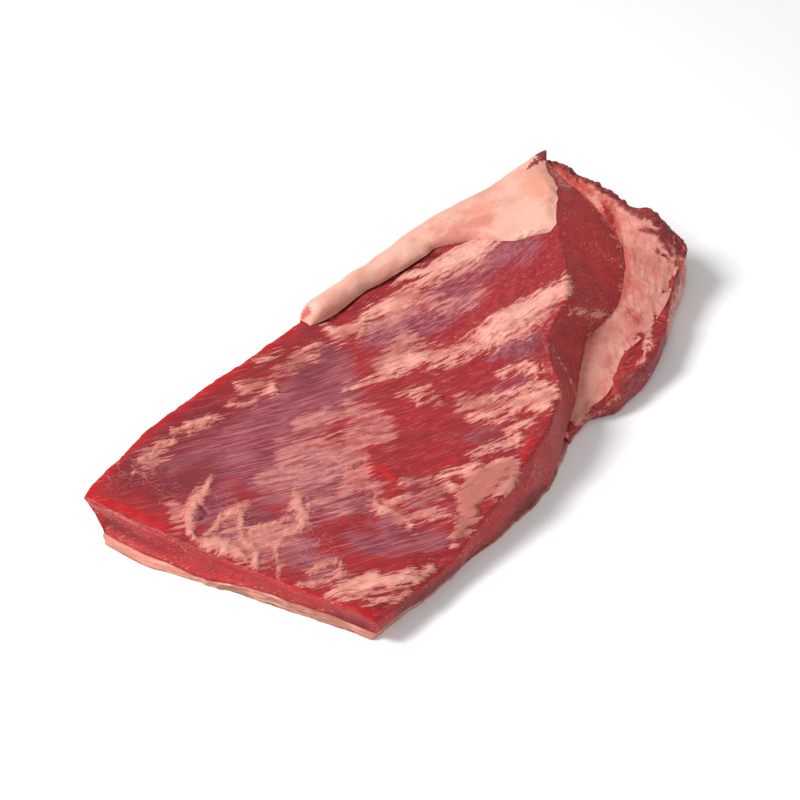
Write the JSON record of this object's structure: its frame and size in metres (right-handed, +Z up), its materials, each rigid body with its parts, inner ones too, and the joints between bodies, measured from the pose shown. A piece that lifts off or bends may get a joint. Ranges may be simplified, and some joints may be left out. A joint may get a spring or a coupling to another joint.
{
  "type": "raw beef brisket",
  "caption": "Raw whole beef brisket lying on its fat side: long flat muscle over a thick point muscle, seam fat between, fat cap below and a fat roll on the far edge.",
  "frame": {"origin": "centre of the bounding box in plan, on the flat underside of the fat cap that the cut lies on", "axes": "+X along the length from the thin cut end to the thick point end, +Y to the edge with the fat roll, +Z up from the fat side to the lean side"},
  "size_m": [0.5326, 0.2588, 0.0804],
  "materials": {
    "lean_meat": "moist red muscle with a thin mauve silverskin and torn fat on top",
    "dark_meat": "moist dark red muscle",
    "seam_fat": "soft salmon fat with fine threads",
    "cap_fat": "soft cream fat",
    "edge_fat": "smooth pinkish cream fat"
  },
  "bodies": {
    "root": {"flat_muscle": "lean_meat", "point_muscle": "dark_meat", "seam_fat": "seam_fat", "fat_cap": "cap_fat", "edge_fat": "edge_fat"}
  },
  "joints": []
}
